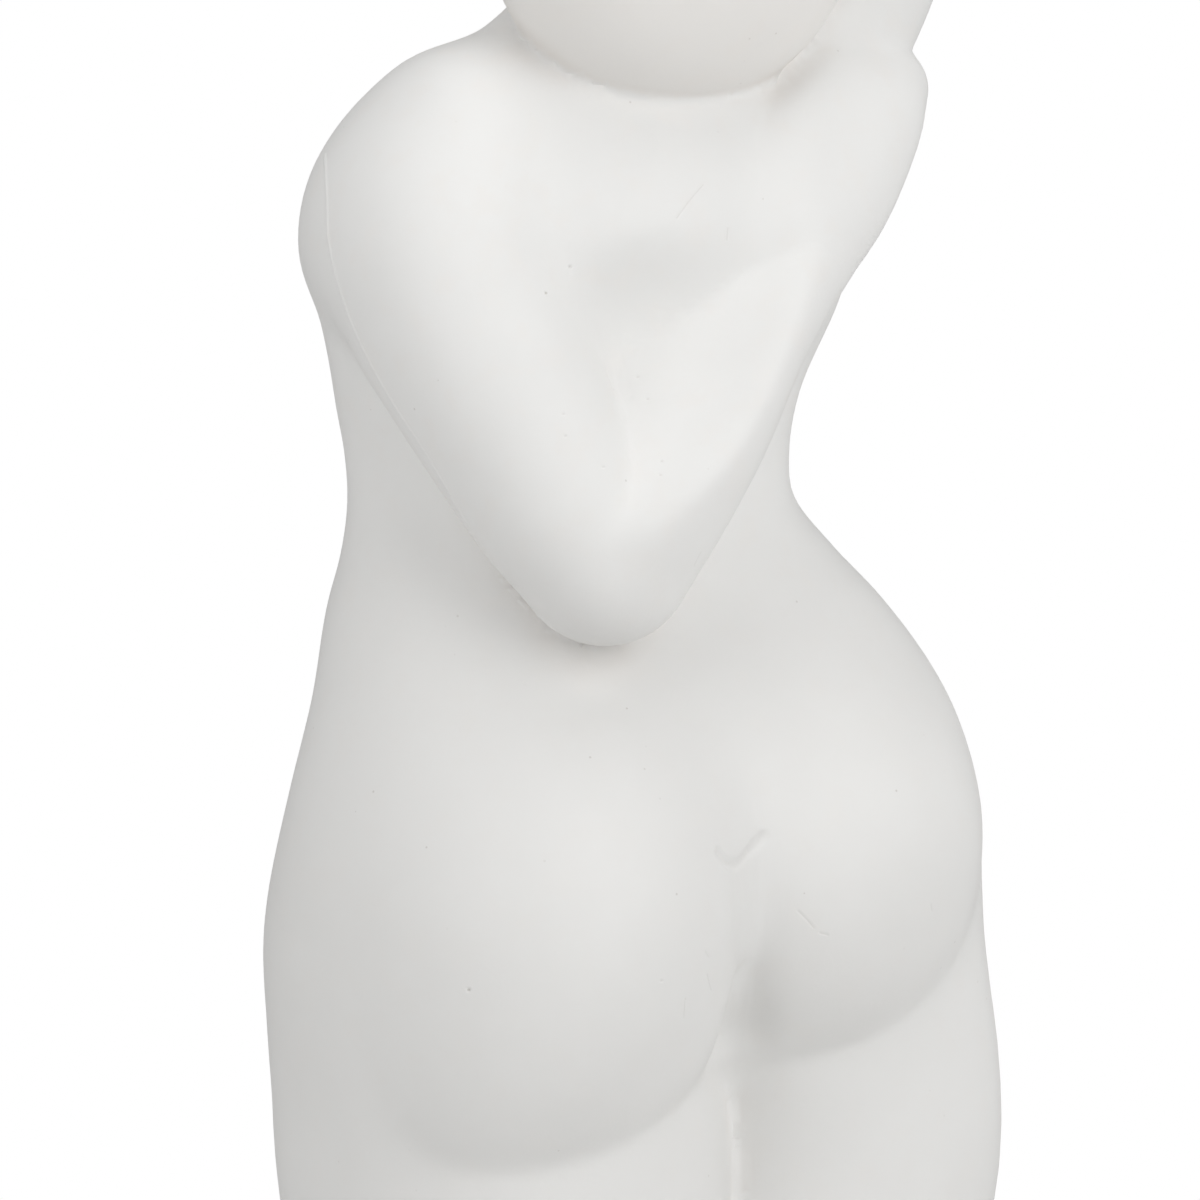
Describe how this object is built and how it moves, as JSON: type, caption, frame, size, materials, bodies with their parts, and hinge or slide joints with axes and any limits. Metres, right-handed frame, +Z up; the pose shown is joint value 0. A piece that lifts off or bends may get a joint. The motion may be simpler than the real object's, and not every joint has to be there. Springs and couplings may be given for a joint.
{
  "type": "ceramic woman statue",
  "caption": "Standing nude woman in unglazed porcelain, left arm folded behind her back and right hand on her head, on a low oval base.",
  "frame": {"origin": "middle of the base's flat underside", "axes": "+Z up along the standing figure; the woman faces -Y and her left side is towards +X"},
  "size_m": [0.0938, 0.078, 0.3395],
  "materials": {
    "porcelain": null
  },
  "bodies": {
    "root": {"woman_figure": "porcelain"}
  },
  "joints": []
}
